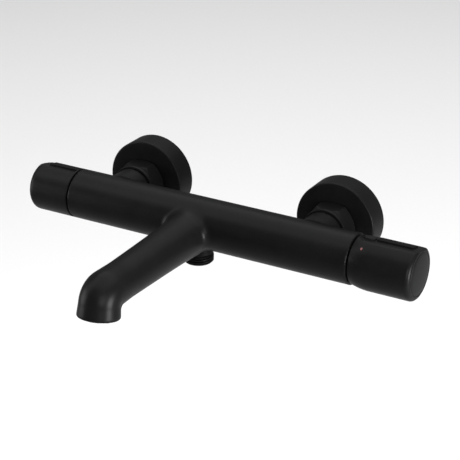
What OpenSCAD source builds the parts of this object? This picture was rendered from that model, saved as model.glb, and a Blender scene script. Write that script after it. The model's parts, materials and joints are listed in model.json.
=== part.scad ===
// Wall mounted thermostatic bath and shower mixer.
// The wall is the plane y = 0 and the mixer stands out of it towards -y.
// The origin lies on the wall, midway between the two inlets.

/* [Body] */
// Distance from the wall to the axis of the round body
axis_out = 60.5; // [60:0.1:61]
// Radius of the round body
body_r = 17.25; // [17.2:0.05:17.5]
// Length of the body from the middle plane to its left end
left_len = 101; // [100.5:0.5:103]
// Length of the body from the middle plane to its right end
right_len = 112; // [111.5:0.5:114]
// Distance between the two inlet axes
inlet_spacing = 150; // [149:0.5:151]

/* [Spout] */
// Sideways place of the spout and the shower outlet
spout_x = -5.3; // [-6:0.1:-4]
// Height of the spout axis over the body axis
spout_z = -3.8; // [-4.2:0.1:-3.4]
// Straight length of the spout from the body axis to the bend
spout_len = 107.5; // [104:0.5:112]
// Radius of the spout just in front of the body, where it is widest
spout_root_r = 15.5; // [15:0.05:15.8]
// Radius of the spout where the bend starts
spout_end_r = 12.7; // [12.5:0.05:12.9]
// Radius of the spout at its mouth
mouth_r = 14; // [13.8:0.05:14.2]
// Radius of the bend along the spout's centre line
bend_r = 13.2; // [13.1:0.1:14]
// Angle of the bend
bend_a = 79.4; // [78:0.1:82]
// Length of the straight outlet after the bend
outlet_len = 3.7; // [3.5:0.1:4.5]

/* [Wall flanges] */
// Radius of the round wall flanges
flange_r = 28.7; // [28:0.1:30]
// Depth of the wall flanges
flange_d = 17.2; // [17:0.1:17.4]
// Offset of each wall thread from its inlet axis
eccentric = 7.5; // [6.5:0.1:8]

/* [Handles] */
// Outer radius of the thermostat handle
thermo_r = 18.25; // [18.1:0.05:18.5]
// Length of the thermostat handle beyond the end of the body
thermo_len = 44.2; // [44:0.1:45]
// Outer radius of the flow handle
flow_r = 17.25; // [17.2:0.05:17.4]
// Length of the flow handle beyond the end of the body
flow_len = 33.6; // [33.5:0.1:34.5]
// Distance from the handle axis to the flat that carries the grip
flat_r = 15.25; // [15.2:0.05:15.4]
// Angle of the flats behind the top of the handles
flat_tilt = 12; // [8:1:16]

/* [Shower outlet] */
// Reach of the shower outlet below the body axis
nipple_end = 28.9; // [28.9:0.1:29.5]

/* [Hidden] */
$fn = 72;

black = "#1c1c1d";
dark = "#0c0c0d";
brass = "#b9a05a";
steel = "#b5b7ba";
rubber = "#151515";
ceramic = "#e8e6df";
plastic_white = "#dcdcd8";
plastic_grey = "#5a5c5f";

eps = 0.5;                 // how far cutting tools run past a face
gap = 0.1;                 // space between fixed neighbours
pipe_pitch = 1.814;        // pitch of both pipe threads
half_inch_r = 10.4775;     // major radius of the G 1/2 thread
half_inch_root = 9.32;
three_quarter_r = 13.22;   // major radius of the G 3/4 thread
three_quarter_root = 12.06;

// stations along an inlet, as distances from the wall
union_end = 25.95;         // mouth of the eccentric union
tail_face = 28;            // sealing face of the inlet tail
tail_flange_end = 30.5;
tail_end = 44;
tail_r = 10.2;
tail_flange_r = 12.3;
neck_from = 34;            // end of the body's inlet neck
neck_r = 14.4;
nut_from = 17.9;
nut_shoulder = 30.7;
nut_end = 33.2;
nut_corner_r = 17.32;      // a hexagon 30 mm across its flats
nut_rim_r = 15.7;
valve_from = 28.2;

// chambers in the body, as depths from its ends
flow_bore_r = 10;
flow_depth = 39;
flow_mouth_r = 12.6;
flow_mouth_depth = 10;
duct_start = 28.5;         // where the outlet ducts leave the flow chamber
thermo_bore_r = 13.2;
thermo_depth = 68;
mixed_r = 6;               // channel of mixed water between the two chambers
hot_duct_r = 2.4;
hot_duct_out = 13.2;
spout_duct_r = 2.8;
spout_duct_out = 12;
shower_duct_r = 1.75;
shower_duct_out = 10.95;
water_r = 7.5;             // channel along the spout
inlet_bore_r = 6.5;
hot_bore_end = 49.6;       // where the left inlet's bore meets the hot ducts
cold_bore_end = 52.5;      // where the right inlet's bore meets the cartridge
hot_duct_spread = 20;      // angle of each of the two hot ducts off the level
sump_r = 5;                // well between the mixed water and the shower outlet
sump_top = 9.1;
aerator_r = 10.5;
aerator_depth = 9;

// check valves
valve_len = 12.8;
valve_r = 7.95;
valve_seat = 2;
stem_r = 1.15;
valve_travel = 2.4;
seat_r = 4.4;
chamber_r = 6.9;
poppet_r = 5.6;
spider_h = 1.6;            // height of the three arms that guide the stem
spider_arm = 1.6;
spider_hub_r = 1.9;
thirds = [0, 120, 240];    // three arms, evenly round

// handles
skirt_r = 13.6;            // inner radius of both handle skirts
edge_round = 3.2;          // rounding of the thermostat handle's outer edge
flow_edge_round = 4.5;
crown = 0.6;               // rise of the end caps in their middle
thermo_cap_r = 14.4;
flow_cap_r = 12.6;
spindle_r = 5.04;
spline_r = 4;
flow_spindle_r = 4.54;
flow_spline_r = 3.9;
screw_r = 1.95;
screw_hole_r = 2.05;
grip_h = 1;
grip_w = 8;
grip_shift = 2;            // the grips sit this far towards the wall on their flats
thermo_grip = [13.2, 38];  // both ends of the grip along the handle
thermo_pegs = [18, 31];    // places of the pegs that hold it
flow_grip = [2.8, 26.8];
flow_pegs = [8, 23];
peg_r = 1.2;
peg_hole_r = 1.3;
peg_depth = 3.5;
grip_lift = 0.02;          // thickness of the glue under a grip
button_mid = 7.8;          // middle of the safety button along the handle
button_w = 6.4;
button_l = 8.2;
button_gap = 0.3;
button_foot = 12.2;        // the button's underside, measured from the handle's axis
button_h = 4.8;
thermo_flat_from = 2.8;    // the flats start this far along the handles
flow_flat_from = 2;
mark_z = 8.5;              // the red mark's place along the handle
mark_angle = 220;
mark_r = 0.98;
swell_r = 43.25;           // the thermostat handle swells from its seam along a large arc
swell_end = 14;

// Frames. Each puts its local z axis along the named direction.
module on_left() translate([-left_len, -axis_out, 0]) rotate([0, -90, 0]) children();
module on_right() translate([right_len, -axis_out, 0]) rotate([0, 90, 0]) children();
module on_inlet(side)
    translate([side * inlet_spacing / 2, 0, 0]) rotate([90, 0, 0]) children();
module on_shower() translate([spout_x, -axis_out, 0]) rotate([180, 0, 0]) children();
module on_spout() translate([spout_x, -axis_out, spout_z]) rotate([90, 0, 0]) children();
module on_bend()
    translate([spout_x, -axis_out - spout_len, spout_z - bend_r])
        rotate([0, -90, 180]) children();
module on_outlet()
    translate([spout_x,
               -axis_out - spout_len - bend_r * sin(bend_a),
               spout_z - bend_r + bend_r * cos(bend_a)])
        rotate([90 + bend_a, 0, 0]) children();
// from a handle's frame to a place on its side, local z pointing outwards
module on_side(angle, z) rotate([0, 0, angle]) translate([0, 0, z]) rotate([0, 90, 0]) children();
module on_flat(angle) rotate([0, 0, angle]) children();

// Shared shapes
module rod(r, from, to) translate([0, 0, from]) cylinder(r = r, h = to - from);
module ring(r_out, r_in, from, to) {
    difference() {
        rod(r_out, from, to);
        rod(r_in, from - eps, to + eps);
    }
}
module o_ring(r_mid, r_section, z)
    translate([0, 0, z]) rotate_extrude() translate([r_mid, 0]) circle(r = r_section);
// ridges stand in for the helix of a thread, one for each turn
module threaded_rod(major, root, pitch, turns)
    rotate_extrude()
        polygon(concat(
            [[0, 0]],
            [for (i = [0 : turns - 1]) each [
                [root, i * pitch],
                [major, (i + 0.32) * pitch],
                [major, (i + 0.62) * pitch],
                [root, (i + 0.94) * pitch]
            ]],
            [[root, turns * pitch], [0, turns * pitch]]));
// quarter arc of an outline, from angle a to angle b around a centre
function arc(cx, cy, r, a, b, steps) =
    [for (i = [0 : steps]) let (t = a + (b - a) * i / steps) [cx + r * cos(t), cy + r * sin(t)]];
module stadium(l, w) {
    square([l - w, w], center = true);
    for (s = [-1, 1]) translate([s * (l - w) / 2, 0]) circle(d = w);
}
function coil_point(r, length, turns, t) =
    [r * cos(360 * turns * t), r * sin(360 * turns * t), length * t];
// a wire of six sides swept along a helix
module coil_spring(r, wire_r, length, turns) {
    sides = 6;
    steps = turns * 14;
    points = [for (i = [0 : steps]) let (t = i / steps, a = 360 * turns * t)
        for (j = [0 : sides - 1]) let (b = 360 * j / sides)
            coil_point(r, length, turns, t)
                + wire_r * [cos(b) * cos(a), cos(b) * sin(a), sin(b)]];
    faces = concat(
        [[for (j = [0 : sides - 1]) j]],
        [for (i = [0 : steps - 1], j = [0 : sides - 1]) let (k = (j + 1) % sides)
            [i * sides + j, (i + 1) * sides + j, (i + 1) * sides + k, i * sides + k]],
        [[for (j = [sides - 1 : -1 : 0]) steps * sides + j]]);
    polyhedron(points = points, faces = faces, convexity = 10);
}

// Casting with the two inlet necks and the spout, all one piece
module body_outside() {
    length = left_len + right_len;
    chamfer = 0.4;
    translate([-left_len, -axis_out, 0]) rotate([0, 90, 0]) rotate_extrude()
        polygon([[0, 0], [body_r - chamfer, 0], [body_r, chamfer], [body_r, length - chamfer],
                 [body_r - chamfer, length], [0, length]]);
    for (side = [-1, 1]) on_inlet(side) rod(neck_r, neck_from, axis_out);
    on_spout() rotate_extrude()
        polygon(concat([[0, 0], [body_r + spout_z - 0.1, 0]], spout_profile(), [[0, spout_len]]));
    on_bend() rotate_extrude(angle = bend_a) translate([bend_r, 0]) circle(r = spout_end_r);
    on_outlet() rotate_extrude()
        polygon([[0, -outlet_lap], [spout_end_r + outlet_step, -outlet_lap], [mouth_r, outlet_len - 1.2],
                 [mouth_r - 0.3, outlet_len - 0.3], [mouth_r - 1, outlet_len], [0, outlet_len]]);
}
outlet_lap = 0.3;          // how far the straight outlet reaches back over the bend
outlet_step = 0.15;        // how much wider than the bend it starts
// the spout is widest at spout_grown from the body axis and tapers towards the bend, fast at first
spout_grown = 17;
flare = 1.1;
flare_reach = 20;
function spout_taper(d) = 1 - (d - spout_grown) / (spout_len - spout_grown);
function spout_profile() =
    [for (i = [0 : 10]) let (d = spout_grown + (spout_len - spout_grown) * i / 10)
        [spout_end_r + spout_taper(d) * (spout_root_r - spout_end_r - flare
            + flare * exp(-(d - spout_grown) / flare_reach)), d]];
module body_channels() {
    on_left() rod(flow_bore_r, -flow_depth, eps);
    on_left() rod(flow_mouth_r, -flow_mouth_depth, eps);
    on_right() rod(thermo_bore_r, -thermo_depth, eps);
    translate([0, -axis_out, 0]) rotate([0, 90, 0]) {
        rod(mixed_r, -left_len + flow_depth - eps, right_len - thermo_depth + eps);
        for (a = [-hot_duct_spread, hot_duct_spread])
            rotate([0, 0, a]) translate([0, hot_duct_out, 0])
                rod(hot_duct_r, -inlet_spacing / 2 - 3, right_len - thermo_depth + eps);
        translate([0, -spout_duct_out, 0])
            rod(spout_duct_r, -left_len + duct_start, spout_x - 3);
        translate([shower_duct_out, 0, 0])
            rod(shower_duct_r, -left_len + duct_start, spout_x - 2);
    }
    for (side = [-1, 1]) on_inlet(side) rod(tail_r + gap, neck_from - eps, tail_end + gap);
    on_inlet(-1) rod(inlet_bore_r, tail_end, hot_bore_end);
    on_inlet(1) rod(inlet_bore_r, tail_end, cold_bore_end);
    on_spout() rod(water_r, 8.4, spout_len);
    on_bend() rotate_extrude(angle = bend_a) translate([bend_r, 0]) circle(r = water_r);
    on_outlet() rod(aerator_r + gap, outlet_len - aerator_depth, outlet_len + eps);
    on_shower() rod(sump_r, sump_top, nipple_from);
    on_shower() rod(nipple_root_r + gap, nipple_from - 1, nipple_neck + eps);
    on_shower() rod(half_inch_r + 0.2, nipple_neck - 0.2, nipple_end);
}
module body() color(black) difference() {
    body_outside();
    body_channels();
}

// Wall flange: a deep cup that hides the wall connection
flange_wall = 1.6;
flange_front = 1.8;        // thickness of the flange's front
flange_edge = 0.6;
flange_boss_r = 15.6;      // threaded boss behind the front
module escutcheon(side) color(black) on_inlet(side) difference() {
    union() {
        difference() {
            rotate_extrude()
                polygon([[0, 0.2], [flange_r, 0.2], [flange_r, flange_d - flange_edge],
                         [flange_r - flange_edge, flange_d], [0, flange_d]]);
            rod(flange_r - flange_wall, -eps, flange_d - flange_front);
        }
        rod(flange_boss_r, flange_d - 5.2, flange_d - flange_front);
    }
    rod(three_quarter_r + 0.25, -eps, flange_d + eps);
}

module union_nut(side) color(black) on_inlet(side) difference() {
    union() {
        translate([0, 0, nut_from]) cylinder(r = nut_corner_r, h = nut_shoulder - nut_from, $fn = 6);
        rod(nut_rim_r, nut_shoulder - eps, nut_end);
    }
    rod(three_quarter_r + 0.13, nut_from - eps, nut_shoulder);
    rod(tail_r + 0.3, nut_from, nut_end + eps);
}

// S-shaped union: the wall thread is offset, so that it takes up the pipe spacing
union_turns = 10;
union_thread = union_turns * pipe_pitch;
union_nut_turns = 5;       // turns at the front, inside the nut
union_front = union_end - union_nut_turns * pipe_pitch;
union_back = -2;           // where the offset half ends and its thread starts
union_neck_r = 12.4;
union_step_r = 11.5;
union_bore_r = 8;
union_tail_bore_r = 7;
module eccentric_union(side) color(brass) on_inlet(side) difference() {
    union() {
        translate([0, 0, union_front])
            threaded_rod(three_quarter_r, three_quarter_root, pipe_pitch, union_nut_turns);
        rod(union_neck_r, 1, union_front + 0.1);
        translate([0, eccentric, 0]) rod(union_step_r, union_back, 6.5);
        translate([0, eccentric, union_back - union_thread])
            threaded_rod(half_inch_r, half_inch_root, pipe_pitch, union_turns);
    }
    rod(union_bore_r, 3, union_end + eps);
    translate([0, eccentric, 0]) rod(union_tail_bore_r, union_back - union_thread - 1, 5);
}

// Tube that ties the nut to the body and holds the check valve
tail_key_r = 6.2;          // the hexagon that a key turns it by
module inlet_tail(side) color(brass) on_inlet(side) difference() {
    union() {
        rod(tail_flange_r, tail_face, tail_flange_end);
        rod(tail_r, tail_face, tail_end);
    }
    rod(valve_r + gap, tail_face - eps, valve_from + valve_len + 0.1);
    translate([0, 0, tail_face]) cylinder(r = tail_key_r, h = 20, $fn = 6);
}
module inlet_washer(side) color(rubber) on_inlet(side)
    ring(tail_flange_r - 0.1, 8.3, union_end + 0.05, tail_face - 0.05);
module strainer(side) color(steel) on_inlet(side) difference() {
    rod(strainer_r, union_end + 0.15, tail_face - 0.15);
    rod(strainer_r - 0.7, union_end - eps, union_end + 0.9);
    rod(strainer_r - 0.7, union_end + 1.4, tail_face + eps);
    hole_rings(2, 2.6) translate([0, 0, union_end]) cylinder(r = 0.8, h = 3);
}
strainer_r = 8.1;
// a middle hole with rings of 6, 12, 18 ... round it
module hole_rings(rings, spacing)
    for (row = [0 : rings], i = [0 : max(0, row * 6 - 1)])
        rotate([0, 0, row == 0 ? 0 : 60 * i / row]) translate([row * spacing, 0, 0]) children();

// Check valve: water lifts the poppet off its seat, the spring closes it
module valve_housing() color(plastic_white) difference() {
    rod(valve_r, 0, valve_len);
    rod(seat_r, -eps, valve_seat + eps);
    rod(chamber_r, valve_seat, valve_len - spider_h);
    difference() {
        rod(chamber_r, valve_len - 2, valve_len + eps);
        rod(spider_hub_r, valve_len - 3, valve_len + 1);
        for (a = thirds) rotate([0, 0, a]) translate([0, -spider_arm / 2, valve_len - 3])
            cube([valve_r, spider_arm, 5]);
    }
    rod(stem_r + 0.08, valve_len - 3, valve_len + 1);
}
module valve_poppet() color(plastic_grey) {
    rod(seat_r - 0.3, 1.1, valve_seat + 0.2);
    rod(poppet_r, valve_seat + 0.1, valve_seat + 1.7);
    rod(stem_r, valve_seat + 1, valve_len - 0.8);
}
// pressed shortens the spring, so that it clears the poppet at the end of its travel
module valve_spring(pressed, turns) color(steel)
    translate([0, 0, valve_seat + 2.1 + pressed])
        coil_spring(2.7, 0.28, valve_len - valve_seat - 4.5 - pressed, turns);

// Shower outlet screwed into the underside of the body
nipple_from = 13.95;
nipple_neck = 16.5;
nipple_collar = 19.5;      // the hose nut can reach up to here
nipple_turns = 4;
nipple_root_r = 9;
module shower_nipple() color(dark) on_shower() difference() {
    union() {
        rod(nipple_root_r, nipple_from, nipple_neck + 0.1);
        rod(half_inch_r - 0.25, nipple_neck, nipple_collar + 0.1);
        rod(half_inch_r, nipple_collar, nipple_end - nipple_turns * pipe_pitch);
        translate([0, 0, nipple_end - nipple_turns * pipe_pitch])
            threaded_rod(half_inch_r, half_inch_root, pipe_pitch, nipple_turns);
    }
    rod(valve_r + gap, nipple_from - eps, nipple_end + eps);
}
module shower_nipple_seal() color(rubber) on_shower()
    ring(nipple_root_r - 0.1, 6, nipple_from - 0.95, nipple_from - 0.05);

// Thermostatic cartridge, in the right end of the body
sleeve_r = 13;
sleeve_waist_r = 11.2;     // the waists let hot and cold water reach the ports
sleeve_bore_r = 10.05;     // the spool slides in this bore
sleeve_end = -67.8;
sleeve_top = -12.2;
seal_stations = [-50.5, -22];
port_stations = [-55.6, -42];
port_r = 1.4;
outlet_tube_r = 5.85;      // carries the mixed water into the body's channel
module thermostat_sleeve() color(plastic_grey) on_right() difference() {
    union() {
        rod(sleeve_r, sleeve_end, sleeve_top);
        rod(outlet_tube_r, sleeve_end - 3.7, sleeve_end + 0.8);
    }
    ring(sleeve_r + 1, sleeve_waist_r, sleeve_end - 1.2, seal_stations[0] - 3);
    ring(sleeve_r + 1, sleeve_waist_r, seal_stations[0] + 4.5, seal_stations[1] - 7);
    for (z = seal_stations) ring(sleeve_r + 1, sleeve_waist_r + 0.1, z - 1, z + 1);
    rod(sleeve_bore_r, -57, sleeve_top + 0.2);
    rod(7.5, -66, -56);
    rod(5, -72, -65);
    for (z = port_stations, i = [0 : 5])
        rotate([0, 0, i * 60]) translate([0, 0, z]) rotate([0, 90, 0])
            cylinder(r = port_r, h = sleeve_r + 2);
}
module thermostat_o_rings() color(rubber) on_right()
    for (z = seal_stations) o_ring(12.25, 0.85, z);
spool_from = -54;
spool_to = -44;
spool_hub_r = 5.2;
wax_r = 4.3;
wax_collar = -47.9;        // the spool rests against this collar of the wax element
module thermostat_spool() color(steel) on_right() difference() {
    rod(sleeve_bore_r - 0.07, spool_from, spool_to);
    difference() {
        rod(8.4, spool_from - 1, spool_to + 1);
        rod(spool_hub_r, wax_collar - 2.1, wax_collar - 0.1);
        for (a = thirds) rotate([0, 0, a]) translate([0, -1.5, wax_collar - 2.1]) cube([9, 3, 2]);
    }
    rod(wax_r + 0.05, spool_from - 1, spool_to + 1);
}
module wax_element() color(brass) on_right() {
    rod(wax_r, -64, -44.5);
    rod(spool_hub_r + 0.4, wax_collar, wax_collar + 1.5);
    rod(1.4, -45, -28);
}
module thermostat_spring() color(steel) on_right()
    translate([0, 0, -65.3]) coil_spring(6, 0.5, 12.6, 5);
spindle_groove = -16;      // middle of the seal's groove in the thermostat spindle
module splines(r, from, length)
    for (i = [0 : 11])
        rotate([0, 0, i * 30]) translate([r - 0.3, -0.5, from]) cube([0.7, 1, length]);
module thermostat_spindle() color(brass) on_right() difference() {
    union() {
        rod(spindle_r, -31, 6);
        rod(spline_r, 5, 25);
        splines(spline_r, 13, 12);
    }
    ring(6, 3.9, spindle_groove - 1, spindle_groove + 1);
    rod(1.6, -32, -26);
    rod(screw_hole_r, 12, 26);
}
module thermostat_spindle_seal() color(rubber) on_right() o_ring(4.5, 0.54, spindle_groove);
module thermostat_nut() color(brass) on_right() difference() {
    union() {
        rod(9.9, -30, -11);
        translate([0, 0, -12]) threaded_rod(13.1, 12.2, 1.5, 8);
        rod(8.8, -0.1, 4.2);
    }
    rod(spindle_r + 0.06, -31, 5);
}
module thermostat_collar() color(dark) on_right() ring(12.9, 9, 0.1, 2.3);
stop_ring_r = 11.8;
module stops(angles, from, length, height)
    for (a = angles) rotate([0, 0, a]) translate([stop_ring_r - 0.8, -2, from]) cube([length, 4, height]);
module thermostat_stop_ring() color(plastic_white) on_right() {
    ring(stop_ring_r, 9, 2.4, 3.2);
    stops([40, 220], 2.4, 1.8, 0.8);
}

// outline of the thermostat handle from its skirt to its outer edge
function thermo_outline() = concat(
    arc(thermo_r - swell_r, swell_end, swell_r, -17.4, 0, 6),
    arc(thermo_r - edge_round, thermo_len - edge_round, edge_round, 0, 90, 8));
thermo_web = 24;           // where the wall across each handle starts
flow_web = 17;
// room under a handle for its skirt, hub, splined spindle and screw
module handle_hollow(web, hub_r, hub_from, spline, socket_end) {
    difference() {
        rod(skirt_r, 0, web);
        rod(hub_r, hub_from, web + 1);
    }
    rod(spline + 0.5, 6, socket_end);
    rod(screw_r + 0.25, socket_end - 0.1, web + 4);
}
module thermostat_handle() color(black) on_right() difference() {
    rotate_extrude()
        polygon(concat([[0, 1]], thermo_outline(), [[0, thermo_len]]));
    handle_hollow(thermo_web, 9.4, 7, spline_r, thermo_web + 1.1);
    rod(thermo_cap_r - 1.8, thermo_web + 3, thermo_len + 1);
    rod(thermo_cap_r + gap, thermo_len - 2.4, thermo_len + 1);
    flat_cutter(180 - flat_tilt, thermo_flat_from, thermo_len);
    on_side(180 - flat_tilt, button_mid)
        translate([0, 0, button_foot + 0.8]) linear_extrude(8)
            stadium(button_l + 2 * button_gap, button_w + 2 * button_gap);
    peg_holes(180 - flat_tilt, -grip_shift, thermo_pegs);
    on_side(mark_angle, mark_z) rod(mark_r + 0.07, thermo_r - 1.3, thermo_r + 1);
}
// planes a flat on a handle's side, from a height to past its end
module flat_cutter(angle, from, length)
    on_flat(angle) translate([flat_r, -body_r, from]) cube([body_r, 2 * body_r, length]);
module on_grip(angle, shift) on_flat(angle) translate([0, shift, 0]) children();
module peg_holes(angle, shift, pegs)
    on_grip(angle, shift)
        for (z = pegs) on_side(0, z) rod(peg_hole_r, flat_r - peg_depth, flat_r + 1);
module grip_strip(angle, shift, ends, pegs) on_grip(angle, shift) {
    translate([flat_r + grip_lift, -grip_w / 2, ends[0]])
        cube([grip_h - grip_lift, grip_w, ends[1] - ends[0]]);
    for (z = pegs) on_side(0, z) rod(peg_r, flat_r - 1.4, flat_r + grip_h / 2);
}
module thermostat_grip_strip() color(dark) on_right()
    grip_strip(180 - flat_tilt, -grip_shift, thermo_grip, thermo_pegs);
module temperature_mark() color("#a01414") on_right()
    on_side(mark_angle, mark_z) rod(mark_r, thermo_r - 1.25, thermo_r - 0.27);
module safety_button() color(plastic_grey) on_right() on_side(180 - flat_tilt, button_mid)
    difference() {
        translate([0, 0, button_foot]) {
            linear_extrude(button_h) stadium(button_l, button_w);
            linear_extrude(0.7) stadium(button_l, button_w + 1.4);
        }
        rod(2.3, button_foot - eps, button_foot + 2);
    }
module safety_spring() color(steel) on_right()
    on_side(180 - flat_tilt, button_mid) translate([0, 0, 9.7]) coil_spring(1.6, 0.22, 2.2, 3);
module thermostat_screw() color(steel) on_right() cap_screw(14, thermo_web + 3.1, 4);
module cap_screw(from, seat, head_r) difference() {
    union() {
        rod(screw_r, from, seat + eps);
        rod(head_r, seat, seat + 3);
    }
    translate([0, 0, seat + 1]) cylinder(r = 1.7, h = 3, $fn = 6);
}
module end_cap(r, skirt, z) {
    rotate_extrude()
        polygon([[0, z - 2.3], [r, z - 2.3], [r, z], [r * 0.75, z + crown * 0.45],
                 [r * 0.4, z + crown * 0.85], [0, z + crown]]);
    ring(skirt, skirt - 1.4, z - 8, z - 2);
}
module thermostat_cap() color(black) on_right() end_cap(thermo_cap_r, 12.5, thermo_len);

// Ceramic flow and diverter cartridge, in the left end of the body
disc_r = 8.6;              // two ceramic discs, face to face
disc_h = 3;
disc_foot = -38;
disc_ports = [-90, 180];   // one towards the spout, one towards the shower outlet
module flow_cartridge() color(brass) on_left() difference() {
    union() {
        rod(9.85, -37.9, -9.9);
        rod(12.5, -9.9, -1);
        rod(7.6, -1.1, 4);
    }
    rod(disc_r + 0.1, disc_foot - 1, -29.8);
    rod(flow_spindle_r + 0.06, -31, 5);
    for (a = disc_ports) on_side(a, -31.6) rod(1.4, 5, 11);
}
module flow_gasket() color(rubber) on_left() ring(disc_r - 0.1, 6.3, disc_foot - 0.9, disc_foot - 0.05);
module flow_fixed_disc() color(ceramic) on_left() difference() {
    rod(disc_r, disc_foot, disc_foot + disc_h);
    rod(1.9, disc_foot - 1, disc_foot + disc_h + 1);
    for (a = disc_ports) disc_hole(a, disc_foot - 1);
}
module flow_rotating_disc() color(ceramic) on_left() difference() {
    rod(disc_r, disc_foot + disc_h + 0.04, disc_foot + 2 * disc_h);
    for (a = [0 : 20 : 60]) disc_hole(a, disc_foot + disc_h - 1);
}
module disc_hole(angle, from)
    on_flat(angle) translate([5.2, 0, from]) cylinder(r = 1.8, h = 2 * disc_h);
module flow_spindle() color(brass) on_left() difference() {
    union() {
        rod(8.4, -31.9, -30);
        rod(flow_spindle_r, -30.5, 6);
        rod(flow_spline_r, 5, 19);
        splines(flow_spline_r, 8, 10);
    }
    ring(6, 3.3, -14, -12.4);
    ring(6, 3.9, 4.15, 5);
    rod(screw_hole_r, 9, 20);
}
module flow_o_ring() color(rubber) on_left() o_ring(3.95, 0.6, -13.2);
module flow_circlip() color(steel) on_left() difference() {
    ring(6.2, 3.95, 4.2, 4.95);
    translate([0, -1.5, 4]) cube([8, 3, 2]);
}
module flow_stop_ring() color(plastic_white) on_left() {
    ring(stop_ring_r, 7.7, 0.3, 3.2);
    stops([90, 270], 0.3, 1.9, 2.9);
}
module flow_handle() color(black) on_left() difference() {
    rotate_extrude()
        polygon(concat([[0, 1], [flow_r - 0.4, 1], [flow_r, 1.4]],
            arc(flow_r - flow_edge_round, flow_len - flow_edge_round, flow_edge_round, 0, 90, 8),
            [[0, flow_len]]));
    handle_hollow(flow_web, 8, 6.5, flow_spline_r, flow_web + 2.1);
    rod(flow_cap_r - 0.6, flow_web + 3, flow_len + 1);
    rod(flow_cap_r + gap, flow_len - 2.4, flow_len + 1);
    flat_cutter(flat_tilt, flow_flat_from, flow_len);
    peg_holes(flat_tilt, grip_shift, flow_pegs);
}
module flow_grip_strip() color(dark) on_left()
    grip_strip(flat_tilt, grip_shift, flow_grip, flow_pegs);
module flow_screw() color(steel) on_left() cap_screw(10.5, flow_web + 3.1, 3.8);
module flow_cap() color(black) on_left() end_cap(flow_cap_r, 11.9, flow_len);

// Aerator in the mouth of the spout
module aerator_housing() color(dark) on_outlet() difference() {
    rod(aerator_r, outlet_len - 7.5, outlet_len + 0.4);
    rod(9, outlet_len - 9, outlet_len + 1);
}
module aerator_insert() color(plastic_grey) on_outlet() difference() {
    rod(8.9, outlet_len - 4.5, outlet_len - 0.4);
    hole_rings(4, 1.75) translate([0, 0, outlet_len - 6]) cylinder(r = 0.6, h = 8);
}
module aerator_seal() color(rubber) on_outlet()
    ring(aerator_r - 0.1, 8.2, outlet_len - aerator_depth + 0.1, outlet_len - 7.6);

body();
escutcheon(-1);  // escutcheon_left
escutcheon(1);  // escutcheon_right
union_nut(-1);  // union_nut_left
union_nut(1);  // union_nut_right
eccentric_union(-1);  // eccentric_union_left
eccentric_union(1);  // eccentric_union_right
inlet_tail(-1);  // inlet_tail_left
inlet_tail(1);  // inlet_tail_right
inlet_washer(-1);  // inlet_washer_left
inlet_washer(1);  // inlet_washer_right
strainer(-1);  // strainer_left
strainer(1);  // strainer_right
on_inlet(-1) translate([0, 0, valve_from]) valve_housing();  // check_valve_housing_left
on_inlet(1) translate([0, 0, valve_from]) valve_housing();  // check_valve_housing_right
on_inlet(-1) translate([0, 0, valve_from]) valve_poppet();  // check_valve_poppet_left
on_inlet(1) translate([0, 0, valve_from]) valve_poppet();  // check_valve_poppet_right
on_inlet(-1) translate([0, 0, valve_from]) valve_spring(valve_travel + 0.3, 4);  // check_valve_spring_left
on_inlet(1) translate([0, 0, valve_from]) valve_spring(valve_travel + 0.3, 4);  // check_valve_spring_right
shower_nipple();
shower_nipple_seal();
on_shower() translate([0, 0, nipple_from + 0.2]) valve_housing();  // shower_valve_housing
on_shower() translate([0, 0, nipple_from + 0.2]) valve_poppet();  // shower_valve_poppet
on_shower() translate([0, 0, nipple_from + 0.2]) valve_spring(0, 6);  // shower_valve_spring
thermostat_sleeve();
thermostat_o_rings();
thermostat_spool();
wax_element();
thermostat_spring();
thermostat_spindle();
thermostat_spindle_seal();
thermostat_nut();
thermostat_collar();
thermostat_stop_ring();
thermostat_handle();
thermostat_grip_strip();
temperature_mark();
safety_button();
safety_spring();
thermostat_screw();
thermostat_cap();
flow_cartridge();
flow_gasket();
flow_fixed_disc();
flow_rotating_disc();
flow_spindle();
flow_o_ring();
flow_circlip();
flow_stop_ring();
flow_handle();
flow_grip_strip();
flow_screw();
flow_cap();
aerator_housing();
aerator_insert();
aerator_seal();
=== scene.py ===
"""Visual model of a matte black wall mounted bath mixer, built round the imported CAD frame."""

import json
import math

import bmesh
import bpy
import numpy as np
from mathutils import Matrix, Vector


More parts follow.
